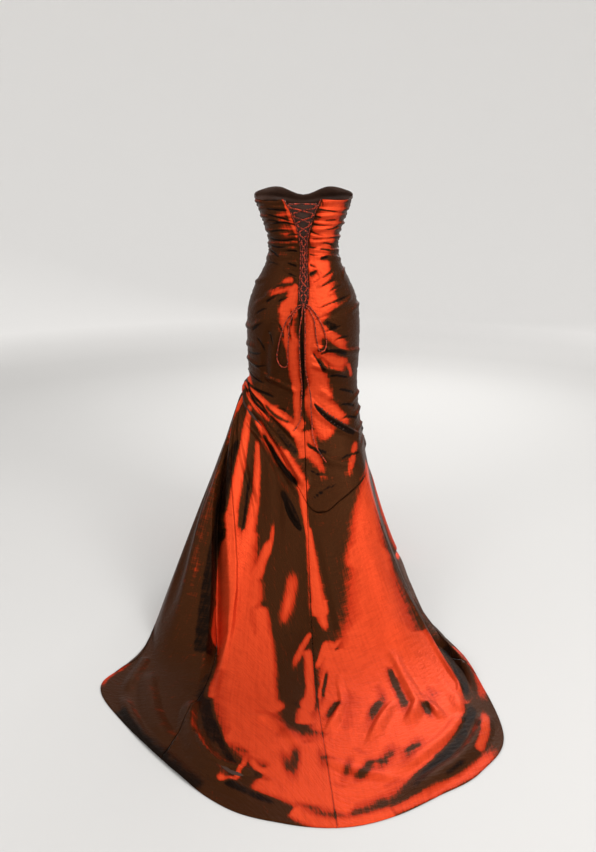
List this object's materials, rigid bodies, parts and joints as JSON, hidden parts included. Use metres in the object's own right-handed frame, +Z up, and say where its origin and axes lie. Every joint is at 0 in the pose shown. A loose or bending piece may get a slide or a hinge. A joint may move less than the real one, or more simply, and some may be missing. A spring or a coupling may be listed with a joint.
{
  "type": "evening gown",
  "caption": "Strapless ruched evening gown with a corset-laced back, a gather at the left hip, fanned drape folds and a long train, in its worn form.",
  "frame": {"origin": "centre of the waistline on the wearer's axis, where the gown is held", "axes": "+Z up, the back of the gown and its train face -Y, the wearer faces +Y and +X is the wearer's right"},
  "size_m": [1.0625, 1.6284, 1.3143],
  "materials": {
    "taffeta": "shot taffeta, crisp and glossy",
    "panel": "dark matt lining cloth",
    "lacing": "satin rouleau cord"
  },
  "bodies": {
    "root": {"bodice_back_left": "taffeta", "bodice_back_right": "taffeta", "bodice_front": "taffeta", "skirt_back_left": "taffeta", "skirt_back_right": "taffeta", "skirt_side_right": "taffeta", "skirt_front": "taffeta", "skirt_side_left": "taffeta", "modesty_panel": "panel", "lace_crossed": "lacing", "bow_loop_left": "lacing", "bow_loop_right": "lacing", "lace_end_left": "lacing", "lace_end_right": "lacing", "loops_left": "lacing", "loops_right": "lacing", "lace_knot": "lacing"}
  },
  "joints": []
}
